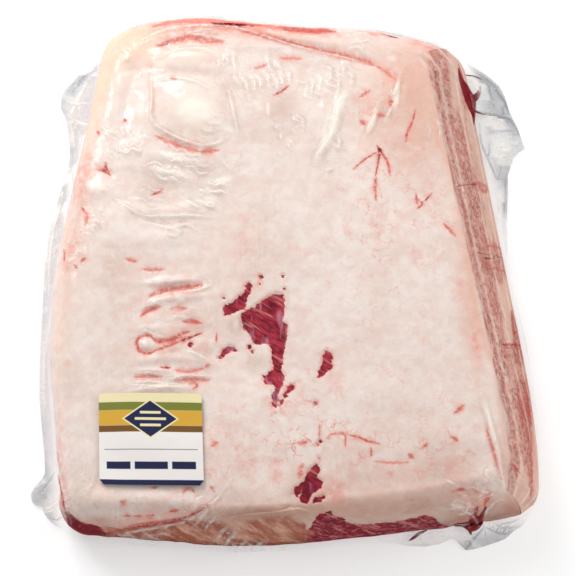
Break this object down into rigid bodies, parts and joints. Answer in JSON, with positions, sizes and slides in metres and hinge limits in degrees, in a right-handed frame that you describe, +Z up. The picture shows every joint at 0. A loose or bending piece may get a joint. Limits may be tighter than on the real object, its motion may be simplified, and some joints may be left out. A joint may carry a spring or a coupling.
{
  "type": "vacuum packed beef rib slab",
  "caption": "Thick slab of raw beef ribs lying fat side up in a clear vacuum bag, with a sawn bone edge, loose film round its foot and a plain label on top.",
  "frame": {"origin": "centre of the part's box, on the surface that it lies on", "axes": "+X to the right, towards the row of bones; +Y to the narrow back end; +Z up through the fat cap"},
  "size_m": [0.3442, 0.3942, 0.0626],
  "materials": {
    "fat": "moist fat under clear film",
    "lean": "moist raw beef under clear film",
    "bone": "sawn spongy bone under clear film",
    "film": "clear shrunk film, glossy",
    "label": "coated label paper"
  },
  "bodies": {
    "root": {"fat_cap": "fat", "lean_slab": "lean", "bone_1": "bone", "bone_2": "bone", "bone_3": "bone", "bone_4": "bone", "bone_5": "bone", "loose_film": "film", "label": "label"}
  },
  "joints": []
}
